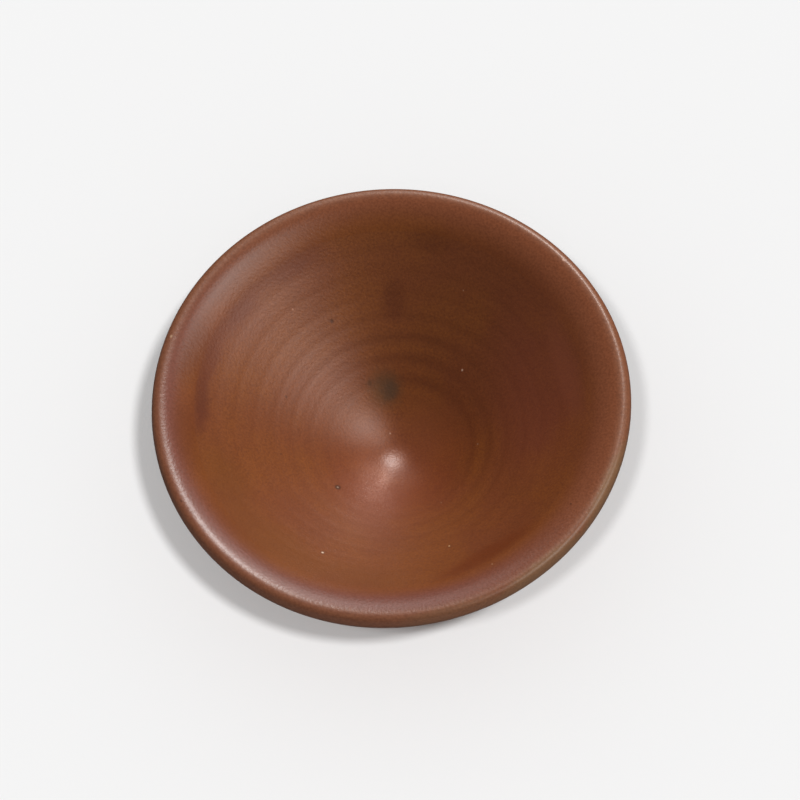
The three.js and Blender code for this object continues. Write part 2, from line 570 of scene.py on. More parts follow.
# Pinholes, dark where they are open, and pale grains of quartz, some in a dark halo
PITS = (
    Mark(111.8, 36.7, 0.8, 0.8, "#2c140c", 0.8),
    Mark(212.8, 20.2, 1.2, 1.2, "#1e100c", 1.0),
    Mark(212.8, 20.2, 0.45, 0.45, "#a08874", 0.9),
    Mark(153.2, 31.8, 0.6, 0.6, "#3a1c12", 0.7),
    Mark(184.9, 31.5, 0.5, 0.5, "#3a1c12", 0.6),
    Mark(238.7, 43.4, 0.9, 1.0, "#4a2210", 0.5),
    Mark(238.7, 43.4, 0.45, 0.55, "#f0d8bc", 0.95),
    Mark(286.8, 39.9, 0.8, 0.8, "#4a2210", 0.4),
    Mark(286.8, 39.9, 0.4, 0.4, "#d8ac7c", 0.8),
    Mark(40.8, 27.4, 0.4, 0.4, "#d0ae98", 0.8),
    Mark(123.3, 43.6, 0.35, 0.35, "#c08a70", 0.7),
    Mark(298.8, 22.4, 0.3, 0.3, "#b08a70", 0.6),
    Mark(351.3, 22.9, 0.3, 0.3, "#b08a70", 0.6),
    Mark(98.3, 7.2, 0.35, 0.35, "#c09a84", 0.6),
    Mark(57.2, 43.3, 0.3, 0.3, "#a87c60", 0.6),
    Mark(294.0, 54.6, 0.3, 0.3, "#c09a78", 0.6),
    Mark(321.4, 57.5, 0.4, 0.4, "#2c140c", 0.7),
    Mark(155.5, 63.0, 0.5, 0.7, "#b89274", 0.8),
    Mark(35.0, 62.7, 0.4, 0.7, "#c49a84", 0.8),
    Mark(201.5, 62.9, 0.35, 0.5, "#3c2018", 0.6),
)


@dataclass(frozen=True)
class GlazePlaces:
    """Sockets that tell the nodes of a glaze where they are on the bowl, in millimetres."""

    solid: NodeSocket  # the place itself
    flat: NodeSocket  # the place dropped onto the table
    around: NodeSocket  # unit direction away from the axis
    radius: NodeSocket  # distance from the axis
    lip_radius: NodeSocket  # distance from the middle of the lip's inside, which is off centre
    to_flame: NodeSocket  # 1 on the side of the kiln's flame, -1 on the far side


@dataclass(frozen=True)
class IronGlaze:
    """Iron-saturated stoneware glaze, poured over the clay and fired to satin.

    The melt is a warm brown with slow patches of amber and red. It pools dark in the throwing groove, breaks
    thin over the lip, where the flame flashes it mauve, and wears paler along the crest. To the eye it has
    two sheens: a soft white one from its glassy skin, broken up by a fine orange peel, and a broad orange
    one from the iron crystals under it. A span is a pair of distances from the axis, and a range is a pair
    of noise values, where a change begins and ends.
    """

    name: str
    amber: str = "#82481d"
    russet: str = "#794020"
    deep: str = "#572916"  # thick melt
    patch: float = 24.0  # size of the patches of amber
    patch_range: tuple[float, float] = (0.36, 0.64)
    ring: float = 2.6  # width of faint dark rings in the melt
    ring_run: float = 9.0  # how fast those rings change round the bowl
    ring_range: tuple[float, float] = (0.4, 0.75)
    ring_share: float = 0.12
    grain: float = 0.6  # size of dark iron specks, drawn coarser than the real ones so that they show
    grain_range: tuple[float, float] = (0.35, 0.7)
    grain_share: float = 0.56
    spiral_rise: tuple[float, float] = (13.0, 21.0)  # span where the pooled groove sets in
    spiral_ebb: tuple[float, float] = (30.0, 38.0)  # span where it fades
    spiral_sides: tuple[float, float] = (0.3, -1.0)  # towards the flame and away from it
    spiral_share: tuple[float, float] = (0.16, 0.5)  # the pool's darkness on those two sides
    spiral_range: tuple[float, float] = (0.3, 0.6)
    spiral_least: float = 0.05  # the pool's darkness between the patches and beyond the ebb
    thin: str = "#834a2e"
    thin_span: tuple[float, float] = (52.5, 59.5)
    drift: float = 1.5  # the thin glaze lies this far off centre
    flashed: str = "#794335"
    flashed_span: tuple[float, float] = (54.5, 58.5)
    flame: tuple[float, float, float] = (-0.75, -0.66, 0.0)  # direction of the flame
    flame_sides: tuple[float, float] = (-0.2, 0.6)  # where flashing begins and is full, 1 facing the flame
    edge: str = "#865236"
    edge_span: tuple[float, float] = (60.5, 64.0)
    edge_share: float = 0.85
    worn_span: tuple[float, float] = (60.4, 62.8)
    worn_skin: float = 0.5  # what wear leaves of the glassy skin
    ragged: float = 2.0  # how far the edges of larger marks stray
    mark_core: float = 0.2  # share of a mark's size that has its full colour
    crystals: str = "#ff9a5c"
    thin_crystals: str = "#74421f"
    worn_crystals: str = "#c4ac9c"
    well_crystals: str = "#cb7a48"
    well_span: tuple[float, float] = (3.0, 9.0)
    gloss_patch: float = 5.0  # size of duller and shinier patches
    gloss_range: tuple[float, float] = (0.3, 0.7)
    roughness: tuple[float, float] = (0.41, 0.47)  # of the crystals
    skin: float = 0.34  # roughness of the glassy skin
    peel: float = 0.8  # size of the orange peel
    peel_height: float = 0.042
    thin_peel_height: float = 0.05
    ior: float = 1.5  # glass
    marks: tuple[Mark, ...] = ()

    def material(self) -> Material:
        """Mix the glaze from its nodes.

        Returns:
            The new material.
        """
        made = bpy.data.materials.new(self.name)
        made.use_nodes = True
        tree = made.node_tree
        at = self.places(tree)
        noise = self.noises(tree, at)
        share = self.shares(tree, at, noise)
        low, high = self.gloss_range
        shiny, dull = self.roughness
        satin = add_node(tree, RANGE, {0: noise["gloss"], 1: low, 2: high, 3: shiny, 4: dull}).outputs[0]
        skin = add_node(tree, RANGE, {0: share["worn"], 3: 1.0, 4: self.worn_skin}).outputs[0]
        peel_depths = {3: self.peel_height * MM, 4: self.thin_peel_height * MM}
        peel_depth = add_node(tree, RANGE, {0: share["thin"], **peel_depths}).outputs[0]
        peel = {"Height": noise["peel"], "Strength": 1.0, "Distance": peel_depth}
        bump = add_node(tree, "ShaderNodeBump", peel).outputs[0]
        feed(tree, tree.nodes["Principled BSDF"], {
            "Base Color": self.colour(tree, at, noise, share),
            "Roughness": satin,
            "IOR": self.ior,
            "Specular IOR Level": 1.0,
            "Specular Tint": self.crystal_tint(tree, share),
            "Coat Weight": skin,
            "Coat Roughness": self.skin,
            "Coat IOR": self.ior,
            "Normal": bump,
            "Coat Normal": bump,
        })
        return made

    def places(self, tree: NodeTree) -> GlazePlaces:
        """Add the nodes that find a place on the bowl.

        Args:
            tree: the material's node tree.

        Returns:
            The sockets with the place.
        """
        in_metres = add_node(tree, "ShaderNodeTexCoord").outputs["Object"]
        solid = add_node(tree, VECTOR, {0: in_metres, "Scale": 1 / MM}, operation="SCALE").outputs[0]
        flat = add_node(tree, VECTOR, {0: solid, 1: (1, 1, 0)}, operation="MULTIPLY").outputs[0]
        around = add_node(tree, VECTOR, {0: flat}, operation="NORMALIZE").outputs[0]
        middle = (self.drift * math.cos(DRIFT_AZIMUTH), self.drift * math.sin(DRIFT_AZIMUTH), 0.0)
        from_middle = add_node(tree, VECTOR, {0: flat, 1: middle}, operation="SUBTRACT").outputs[0]
        facing = add_node(tree, VECTOR, {0: around, 1: self.flame}, operation="DOT_PRODUCT")
        return GlazePlaces(
            solid=solid,
            flat=flat,
            around=around,
            radius=add_node(tree, VECTOR, {0: flat}, operation="LENGTH").outputs["Value"],
            lip_radius=add_node(tree, VECTOR, {0: from_middle}, operation="LENGTH").outputs["Value"],
            to_flame=facing.outputs["Value"],
        )

    def noises(self, tree: NodeTree, at: GlazePlaces) -> dict[str, NodeSocket]:
        """Add the noises that make the glaze uneven.

        Args:
            tree: the material's node tree.
            at: where the nodes are on the bowl.

        Returns:
            Each noise by its name.
        """
        slow = add_node(tree, VECTOR, {0: at.around, "Scale": self.ring_run}, operation="SCALE").outputs[0]
        outwards = add_node(tree, "ShaderNodeCombineXYZ", {"Z": at.radius}).outputs[0]
        in_rings = add_node(tree, VECTOR, {0: slow, 1: outwards}, operation="ADD").outputs[0]
        plan = {
            "patch": {"Vector": at.solid, "Scale": 1 / self.patch, "Detail": 3.0},
            "ring": {"Vector": in_rings, "Scale": 1 / self.ring, "Detail": 2.0},
            "grain": {"Vector": at.solid, "Scale": 1 / self.grain, "Detail": 2.0},
            "gloss": {"Vector": at.solid, "Scale": 1 / self.gloss_patch, "Detail": 2.0},
            "peel": {"Vector": at.solid, "Scale": 1 / self.peel, "Detail": 2.0},
        }
        return {name: add_node(tree, NOISE, sockets).outputs[0] for name, sockets in plan.items()}

    def shares(self, tree: NodeTree, at: GlazePlaces, noise: dict[str, NodeSocket]) -> dict[str, NodeSocket]:
        """Add the nodes that say how far each change of the glaze has gone.

        Args:
            tree: the material's node tree.
            at: where the nodes are on the bowl.
            noise: the noises that make the glaze uneven.

        Returns:
            Each share by its name, from 0 to 1 or to the most that the change reaches.
        """
        begun, full = self.flame_sides
        flame = add_node(tree, RANGE, {0: at.to_flame, 1: begun, 2: full}).outputs[0]
        plan = {
            "amber": (noise["patch"], self.patch_range, 1.0, Ease.SMOOTH),
            "ring": (noise["ring"], self.ring_range, self.ring_share, Ease.STRAIGHT),
            "grain": (noise["grain"], self.grain_range, self.grain_share, Ease.STRAIGHT),
            "thin": (at.lip_radius, self.thin_span, 1.0, Ease.SMOOTH),
            "flashed": (at.lip_radius, self.flashed_span, flame, Ease.SMOOTH),
            "edge": (at.radius, self.edge_span, self.edge_share, Ease.SMOOTH),
            "worn": (at.radius, self.worn_span, 1.0, Ease.SMOOTH),
            "wall": (at.radius, self.well_span, 1.0, Ease.SMOOTH),
        }
        made = {}
        for name, (value, (low, high), most, ease) in plan.items():
            sockets = {0: value, 1: low, 2: high, 4: most}
            made[name] = add_node(tree, RANGE, sockets, interpolation_type=ease.value).outputs[0]
        return made

    def colour(
        self, tree: NodeTree, at: GlazePlaces, noise: dict[str, NodeSocket], share: dict[str, NodeSocket],
    ) -> NodeSocket:
        """Lay the colours of the glaze over each other.

        Args:
            tree: the material's node tree.
            at: where the nodes are on the bowl.
            noise: the noises that make the glaze uneven.
            share: how far each change of the glaze has gone.

        Returns:
            The colour.
        """
        thin_tones = {0: share["flashed"], MIX_A: linear(self.thin), MIX_B: linear(self.flashed)}
        thin = add_node(tree, MIX, thin_tones, data_type="RGBA").outputs[MIX_RESULT]
        layers = [
            (share["amber"], linear(self.amber)),
            (share["ring"], linear(self.deep)),
            (self.pooled(tree, at, noise["patch"]), linear(self.deep)),
            (share["thin"], thin),
            (share["edge"], linear(self.edge)),
            (share["grain"], linear(self.deep)),
            *self.mark_layers(tree, at),
        ]
        colour = linear(self.russet)
        for cover, tone in layers:
            laid = add_node(tree, MIX, {0: cover, MIX_A: colour, MIX_B: tone}, data_type="RGBA")
            colour = laid.outputs[MIX_RESULT]
        return colour

    def pooled(self, tree: NodeTree, at: GlazePlaces, patches: NodeSocket) -> NodeSocket:
        """Add the nodes that find melt pooled in the throwing groove, darkest away from the flame.

        Args:
            tree: the material's node tree.
            at: where the nodes are on the bowl.
            patches: the noise that makes the pool uneven.

        Returns:
            The share of deep melt.
        """
        across = add_node(tree, "ShaderNodeSeparateXYZ", {0: at.flat}).outputs
        azimuth = add_node(tree, MATH, {0: across["Y"], 1: across["X"]}, operation="ARCTAN2").outputs[0]
        turns = {0: at.radius, 1: 2 * math.pi / SPIRAL_PITCH, 2: azimuth}
        wound = add_node(tree, MATH, turns, operation="MULTIPLY_ADD").outputs[0]
        started = add_node(tree, MATH, {0: wound, 1: SPIRAL_START}, operation="ADD").outputs[0]
        groove = add_node(tree, MATH, {0: started}, operation="COSINE").outputs[0]
        near, far = self.spiral_sides
        pale, dark = self.spiral_share
        most = add_node(tree, RANGE, {0: at.to_flame, 1: near, 2: far, 3: pale, 4: dark}).outputs[0]
        low, high = self.spiral_range
        uneven_depths = {0: patches, 1: low, 2: high, 3: self.spiral_least, 4: most}
        uneven = add_node(tree, RANGE, uneven_depths).outputs[0]
        begun, full = self.spiral_rise
        rise = {0: at.radius, 1: begun, 2: full, 4: uneven}
        rising = add_node(tree, RANGE, rise, interpolation_type=Ease.SMOOTH.value).outputs[0]
        ebb, out = self.spiral_ebb
        fading = {0: at.radius, 1: ebb, 2: out, 3: rising, 4: self.spiral_least}
        depth = add_node(tree, RANGE, fading).outputs[0]
        return add_node(tree, RANGE, {0: groove, 1: -1.0, 2: 1.0, 4: depth}).outputs[0]

    def mark_layers(self, tree: NodeTree, at: GlazePlaces) -> list[Layer]:
        """Add the nodes that place the marks, the larger ones with ragged edges.

        Args:
            tree: the material's node tree.
            at: where the nodes are on the bowl.

        Returns:
            The share and the colour of each mark, in order.
        """
        stray = add_node(tree, NOISE, {"Vector": at.solid, "Scale": 1 / self.ragged, "Detail": 3.0})
        even = {0: stray.outputs["Color"], 1: (0.5, 0.5, 0.5)}
        either_way = add_node(tree, VECTOR, even, operation="SUBTRACT").outputs[0]
        strayed = {0: either_way, 1: (self.ragged, self.ragged, 0.0), 2: at.flat}
        ragged_flat = add_node(tree, VECTOR, strayed, operation="MULTIPLY_ADD").outputs[0]
        layers = []
        for mark in self.marks:
            turn = math.radians(mark.azimuth)
            oval = {
                "Vector": ragged_flat if mark.across > self.ragged else at.flat,
                "Location": (mark.radius * math.cos(turn), mark.radius * math.sin(turn), 0.0),
                "Rotation": (0, 0, turn),
                "Scale": (mark.across, mark.along, 1.0),
            }
            local = add_node(tree, "ShaderNodeMapping", oval, vector_type="TEXTURE").outputs[0]
            away = add_node(tree, VECTOR, {0: local}, operation="LENGTH").outputs["Value"]
            fade = {0: away, 1: 1.0, 2: self.mark_core, 4: mark.strength}
            cover = add_node(tree, RANGE, fade, interpolation_type=Ease.SMOOTH.value).outputs[0]
            layers.append((cover, linear(mark.colour)))
        return layers

    def crystal_tint(self, tree: NodeTree, share: dict[str, NodeSocket]) -> NodeSocket:
        """Add the colour of the sheen from the crystals, from the well to the worn crest.

        Args:
            tree: the material's node tree.
            share: how far each change of the glaze has gone.

        Returns:
            The tint.
        """
        tint = linear(self.well_crystals)
        tints = {"wall": self.crystals, "thin": self.thin_crystals, "worn": self.worn_crystals}
        for name, tone in tints.items():
            laid = add_node(tree, MIX, {0: share[name], MIX_A: tint, MIX_B: linear(tone)}, data_type="RGBA")
            tint = laid.outputs[MIX_RESULT]
        return tint


# One glaze on the whole bowl, which is thinner over the lip and pools where it stopped above the foot
INSIDE_GLAZE = IronGlaze("russet_iron_glaze", marks=TONE_AND_PAINTED_LIGHT_ZONES + SMUDGES_AND_PAINTED_LIGHT + PITS)
LIP_GLAZE = IronGlaze("lip_iron_glaze", skin=0.29, grain_share=0.44, marks=TONE_AND_PAINTED_LIGHT_ZONES + SMUDGES_AND_PAINTED_LIGHT + PITS)
OUTSIDE_GLAZE = IronGlaze("outside_iron_glaze")
POOLED_GLAZE = IronGlaze(
    "pooled_iron_glaze", amber="#4a2613", russet="#3a1c10", deep="#22110a", thin="#3a1c10", skin=0.22,
)


@dataclass(frozen=True)
class StonewareClay:
    """Iron-bearing stoneware clay, turned with a tool and fired bare.

    To the eye it is dry and matt: buff brown, toasted by the flame higher up, with dark iron specks and fine
    grit.
    """

    name: str = "bare_stoneware"
    buff: str = "#a98c6b"
    toasted: str = "#8a5f40"
    speck: str = "#4a3426"
    toast_from: float = 4.0  # heights where the toasting begins and is full
    toast_to: float = 10.0
    cloud: float = 7.0  # size of the clouds at its lower edge
    cloud_reach: float = 6.0  # how far those clouds reach up and down, together
    speck_gap: float = 1.3
    speck_range: tuple[float, float] = (0.22, 0.1)  # edge and core of a speck, as shares of the gap
    speck_share: float = 0.8
    grit: float = 0.45
    grit_height: float = 0.05
    roughness: float = 0.88
    ior: float = 1.5

    def material(self) -> Material:
        """Mix the clay from its nodes.

        Returns:
            The new material.
        """
        made = bpy.data.materials.new(self.name)
        made.use_nodes = True
        tree = made.node_tree
        in_metres = add_node(tree, "ShaderNodeTexCoord").outputs["Object"]
        solid = add_node(tree, VECTOR, {0: in_metres, "Scale": 1 / MM}, operation="SCALE").outputs[0]
        height = add_node(tree, "ShaderNodeSeparateXYZ", {0: solid}).outputs["Z"]
        cloud = add_node(tree, NOISE, {"Vector": solid, "Scale": 1 / self.cloud, "Detail": 4.0}).outputs[0]
        cloudy = {0: cloud, 1: self.cloud_reach, 2: height}
        uneven = add_node(tree, MATH, cloudy, operation="MULTIPLY_ADD").outputs[0]
        lift = self.cloud_reach / 2
        toasting = {0: uneven, 1: self.toast_from + lift, 2: self.toast_to + lift}
        toast = add_node(tree, RANGE, toasting, interpolation_type=Ease.SMOOTH.value).outputs[0]
        specks = add_node(tree, "ShaderNodeTexVoronoi", {"Vector": solid, "Scale": 1 / self.speck_gap})
        edge, core = self.speck_range
        speckling = {0: specks.outputs["Distance"], 1: edge, 2: core, 4: self.speck_share}
        speckled = add_node(tree, RANGE, speckling).outputs[0]
        colour = linear(self.buff)
        for cover, tone in ((toast, self.toasted), (speckled, self.speck)):
            laid = add_node(tree, MIX, {0: cover, MIX_A: colour, MIX_B: linear(tone)}, data_type="RGBA")
            colour = laid.outputs[MIX_RESULT]
        grit = add_node(tree, NOISE, {"Vector": solid, "Scale": 1 / self.grit, "Detail": 3.0}).outputs[0]
        gritty = {"Height": grit, "Strength": 1.0, "Distance": self.grit_height * MM}
        bump = add_node(tree, "ShaderNodeBump", gritty).outputs[0]
        feed(tree, tree.nodes["Principled BSDF"], {
            "Base Color": colour,
            "Roughness": self.roughness,
            "IOR": self.ior,
            "Normal": bump,
        })
        return made


@dataclass(frozen=True)
class Drip:
    """A fat drip of the roll of glaze."""

    azimuth: float  # degrees from +X towards +Y
    reach: float  # how far it ran below the roll
    width: float  # half its width, in degrees round the foot


@dataclass
class GlazeCoats:
    """The four coats of glaze, each a closed shell on the clay."""

    outline: ClayOutline
    marks: ThrowingMarks
    roll: float = 1.7  # thickest part of the roll
    toe: float = 0.24  # thickness of the roll's lower edge
    toe_wander: float = 0.9  # how far that edge wanders up and down
    toe_waves: tuple[tuple[int, float, float], ...] = ((2, 0.8, 0.6), (5, 2.1, 0.4))  # count, start, share
    drips: tuple[Drip, ...] = (Drip(205.0, 1.9, 7.0), Drip(318.0, 1.3, 9.0), Drip(62.0, 1.1, 6.0))
    drip_swell: float = 0.4  # a drip is thicker than the roll by this share
    bead_scale: float = 3.5  # brings the fattest place of the bead to 1
    roll_rows: int = 28

    def build(self) -> list[Object]:
        """Lay the coats and dress them.

        Returns:
            The four coats.
        """
        return [
            self.lay("inside_glaze", Stretch.INSIDE, INSIDE_GLAZE.material()),
            self.lay("lip_glaze", Stretch.LIP, LIP_GLAZE.material()),
            self.lay("outside_glaze", Stretch.OUTSIDE, OUTSIDE_GLAZE.material()),
            self.lay_roll("glaze_roll", POOLED_GLAZE.material()),
        ]

    def lay(self, node: str, stretch: Stretch, material: Material) -> Object:
        """Lay an even coat on one stretch of the clay.

        Args:
            node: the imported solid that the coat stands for.
            stretch: the stretch that it covers.
            material: the coat's finish.

        Returns:
            The coat.
        """
        points, normals = self.outline.at(self.outline.rows(stretch))
        radius = points[:, :1]
        relief = np.zeros((len(points), TURNS))
        pressed = relief
        if stretch is Stretch.INSIDE:
            relief = self.marks.inside(radius)
            pressed = self.marks.pressed(radius)
        elif stretch is Stretch.OUTSIDE:
            relief = self.marks.outside(radius)
        under = points[:, None] + normals[:, None] * pressed[..., None]
        over = under + normals[:, None] * (self.outline.glaze + relief)[..., None]
        section = np.concatenate([under[::-1], over])
        if stretch is not Stretch.OUTSIDE:
            drift = self.marks.off_centre(radius)
            section[..., 0] += np.concatenate([drift[::-1], drift])
        return self.finish(node, section, stretch is Stretch.INSIDE, material)

    def lay_roll(self, node: str, material: Material) -> Object:
        """Lay the roll of run glaze, with a wandering lower edge and a few fat drips.

        Args:
            node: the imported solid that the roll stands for.
            material: the roll's finish.

        Returns:
            The roll.
        """
        first, last = self.outline.span[Stretch.ROLL]
        waves = sum(share * np.sin(count * AZIMUTHS + start) for count, start, share in self.toe_waves)
        wander = self.toe_wander * waves
        fat = np.zeros(TURNS)
        for drip in self.drips:
            away = (np.degrees(AZIMUTHS) - drip.azimuth + 180) % 360 - 180
            swell = np.exp(-(away / drip.width) ** 2)
            wander -= drip.reach * swell
            fat += self.drip_swell * swell
        share = np.linspace(0, 1, self.roll_rows)[:, None]
        lengths = first + wander + (last - first - wander) * share
        points, normals = self.outline.at(lengths)
        bead = self.bead_scale * np.sqrt(share) * (1 - share) ** 2
        even = self.toe + (self.outline.glaze - self.toe) * share
        thickness = even + (self.roll - self.outline.glaze) * bead * (1 + fat)
        over = points + normals * thickness[..., None]
        return self.finish(node, np.concatenate([points[::-1], over]), False, material)

    def finish(self, node: str, section: np.ndarray, on_axis: bool, material: Material) -> Object:
        """Make a coat's mesh, slightly out of round, and hand it over.

        Args:
            node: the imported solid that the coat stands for.
            section: the rings of the coat.
            on_axis: True where the coat reaches the axis.
            material: the coat's finish.

        Returns:
            The coat.
        """
        strayed = self.marks.astray(section, self.outline.rim_radius)
        return hand_over(turned_mesh(f"{node}_coat", strayed, on_axis), node, material)


@dataclass
class ClayBody:
    """The thrown clay wall and the foot ring under it, bare where the glaze stops."""

    outline: ClayOutline
    marks: ThrowingMarks
    under_glaze: float = 0.03  # the clay lies this far under its coats, so that no two faces coincide
    cut_height: float = 0.09  # half the depth of the spiral cut that hollowed the foot
    cut_pitch: float = 2.3
    cut_fade: float = 2.0  # reach over which the cut sets in and ends
    nub_height: float = 0.5  # left by the tool in the middle of the base
    nub_radius: float = 2.4
    foot_width: float = 5.1
    foot_bevel: float = 0.7
    foot_flare: float = 0.5
    foot_step: float = 0.2  # between the rings of the foot
    corner_share: float = 0.45  # of the bevel, that rounds each of its corners off
    corner_steps: int = 6
    line_height: float = 0.03  # half the depth of the turning lines
    line_pitch: float = 0.9
    line_fade: float = 0.6  # reach under the joint over which the lines end

    def build(self) -> list[Object]:
        """Make the clay pieces and dress them."""
        clay = StonewareClay().material()
        return [self.wall("clay_bowl", clay), self.foot("foot_ring", clay)]

    def wall(self, node: str, material: Material) -> Object:
        """Make the wall, from the turned base under the foot to the well under the inside glaze.

        Args:
            node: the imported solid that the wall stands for.
            material: the wall's finish.

        Returns:
            The wall.
        """
        outline = self.outline
        base_radius = evenly(0.0, outline.joint_radius, ROW_STEP)[:, None]
        hollow = outline.joint_radius - self.foot_width - 2 * self.foot_flare
        cut = self.cut_height * np.sin(2 * math.pi * base_radius / self.cut_pitch - AZIMUTHS)
        cut = cut * between((0.0, self.cut_fade), (hollow - self.cut_fade, hollow), base_radius)
        nub = self.nub_height * np.exp(-(base_radius / self.nub_radius) ** 2)
        base = np.stack([base_radius * np.ones(TURNS), outline.joint_height - cut - nub], axis=-1)

        bare = [outline.rows(stretch)[1:] for stretch in (Stretch.BARE, Stretch.ROLL)]
        hidden = (Stretch.OUTSIDE, Stretch.LIP, Stretch.INSIDE)
        covered = [outline.rows(stretch, HIDDEN_STEP)[1:] for stretch in hidden]
        lengths = np.concatenate([*bare, *covered])
        points, normals = outline.at(lengths)
        radius, lengths = points[:, :1], lengths[:, None]
        sunk = smooth_step(*outline.span[Stretch.ROLL], lengths)
        lines = self.line_height * np.sin(2 * math.pi * lengths / self.line_pitch)
        inside = lengths >= outline.span[Stretch.INSIDE][0]
        relief = lines * (1 - sunk) - self.under_glaze * sunk + inside * self.marks.pressed(radius)
        wall = points[:, None] + normals[:, None] * relief[..., None]
        lip_and_inside = lengths >= outline.span[Stretch.LIP][0]
        wall[..., 0] += lip_and_inside * self.marks.off_centre(radius)
        section = self.marks.astray(np.concatenate([base, wall]), outline.rim_radius)
        section[-1, :, 0] = 0.0
        return hand_over(turned_mesh(f"{node}_turned", section, True), node, material)

    def foot(self, node: str, material: Material) -> Object:
        """Make the foot ring, with softened edges and the lines of the turning tool.

        Args:
            node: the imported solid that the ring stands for.
            material: the ring's finish.

        Returns:
            The ring.
        """
        joint, bevel, top = self.outline.joint_radius, self.foot_bevel, self.outline.joint_height
        outside = joint - self.foot_flare
        inside = outside - self.foot_width
        corners = np.array([
            (joint, top),
            (outside, bevel),
            (outside - bevel, 0.0),
            (inside + bevel, 0.0),
            (inside, bevel),
            (inside - self.foot_flare, top),
        ])
        reach = self.corner_share * bevel
        traced = [corners[:1]]
        for before, corner, after in zip(corners, corners[1:], corners[2:]):
            start = corner + (before - corner) / np.linalg.norm(before - corner) * reach
            end = corner + (after - corner) / np.linalg.norm(after - corner) * reach
            traced.append(bend(start, corner, end, self.corner_steps))
        traced.append(corners[-1:])
        outline = np.vstack(traced)
        lengths = np.concatenate([[0.0], np.cumsum(np.linalg.norm(np.diff(outline, axis=0), axis=1))])
        places = evenly(0.0, lengths[-1], self.foot_step)
        fine = np.stack([np.interp(places, lengths, outline[:, i]) for i in (0, 1)], axis=-1)
        side = np.sign(fine[:, 0] - (outside + inside) / 2)
        fade = between((bevel, 2 * bevel), (top - self.line_fade, top), fine[:, 1])
        lines = self.line_height * np.sin(2 * math.pi * fine[:, 1] / self.line_pitch) * fade
        fine[:, 0] += lines * side
        section = np.repeat(fine[:, None], TURNS, axis=1)
        return hand_over(turned_mesh(f"{node}_turned", section, False), node, material)


def towards(azimuth: float, elevation: float) -> Vector:
    """Give the direction to a lamp.

    Args:
        azimuth: degrees from +X towards +Y.
        elevation: degrees above the floor.

    Returns:
        A unit vector from the bowl to the lamp.
    """
    turn, lift = math.radians(azimuth), math.radians(elevation)
    return Vector((math.cos(lift) * math.cos(turn), math.cos(lift) * math.sin(turn), math.sin(lift)))


@dataclass(frozen=True)
class Softbox:
    """A soft oval lamp turned to the bowl, brightest in the middle.

    Its angles are in degrees, seen from the bowl, and its distance is in metres.
    """

    name: str
    azimuth: float
    elevation: float
    width: float
    height: float
    share: float  # brightness of a white card facing it
    lean: float = 0.0  # its upright sides lean to the left by this angle
    layers: int = 4  # nested panels that make the middle brighter
    distance: float = 3.0

    def hang(self) -> list[Object]:
        """Hang the lamp.

        Returns:
            Its panels.
        """
        direction = towards(self.azimuth, self.elevation)
        leaning = Quaternion((0, 0, 1), math.radians(self.lean))
        panels = []
        for layer in range(1, self.layers + 1):
            data = bpy.data.lights.new(f"{self.name}_{layer}", "AREA")
            data.shape = "ELLIPSE"
            full = 2 * self.distance * layer / self.layers
            data.size = full * math.tan(math.radians(self.width / 2))
            data.size_y = full * math.tan(math.radians(self.height / 2))
            panel_share = self.share * layer / sum(range(1, self.layers + 1))
            data.energy = panel_share * (math.pi * self.distance) ** 2
            panel = bpy.data.objects.new(data.name, data)
            panel.location = direction * self.distance
            panel.rotation_mode = "QUATERNION"
            panel.rotation_quaternion = direction.to_track_quat("Z", "Y") @ leaning
            bpy.context.scene.collection.objects.link(panel)
            panels.append(panel)
        return panels


@dataclass(frozen=True)
class FloorLamp:
    """A far round lamp that lights the floor and lays the bowl's shadow on it, with angles in degrees."""

    name: str
    azimuth: float
    elevation: float
    spread: float
    share: float  # brightness of a white floor under it

    def hang(self) -> list[Object]:
        """Hang the lamp.

        Returns:
            The lamp alone.
        """
        data = bpy.data.lights.new(self.name, "SUN")
        data.energy = self.share * math.pi / math.sin(math.radians(self.elevation))
        data.angle = math.radians(self.spread)
        lamp = bpy.data.objects.new(self.name, data)
        lamp.rotation_mode = "QUATERNION"
        lamp.rotation_quaternion = towards(self.azimuth, self.elevation).to_track_quat("Z", "Y")
        bpy.context.scene.collection.objects.link(lamp)
        return [lamp]


# A small lamp high at the back, a wide one at the right and a wide, lower one at the back
SOFTBOXES = (
    Softbox("key_softbox", 67.0, 51.0, 11.0, 11.0, 0.4),
    Softbox("right_softbox", -18.0, 49.0, 54.0, 34.0, 0.495, lean=-16.0),
    Softbox("back_softbox", 76.0, 31.5, 56.0, 28.0, 0.34),
)

# Two small lamps and a broad one, all high in front
FLOOR_LAMPS = (
    FloorLamp("right_floor_lamp", -62.0, 69.2, 4.0, 0.45),
    FloorLamp("left_floor_lamp", 249.1, 68.2, 4.0, 0.24),
    FloorLamp("front_floor_lamp", 270.0, 66.5, 20.0, 0.06),
)


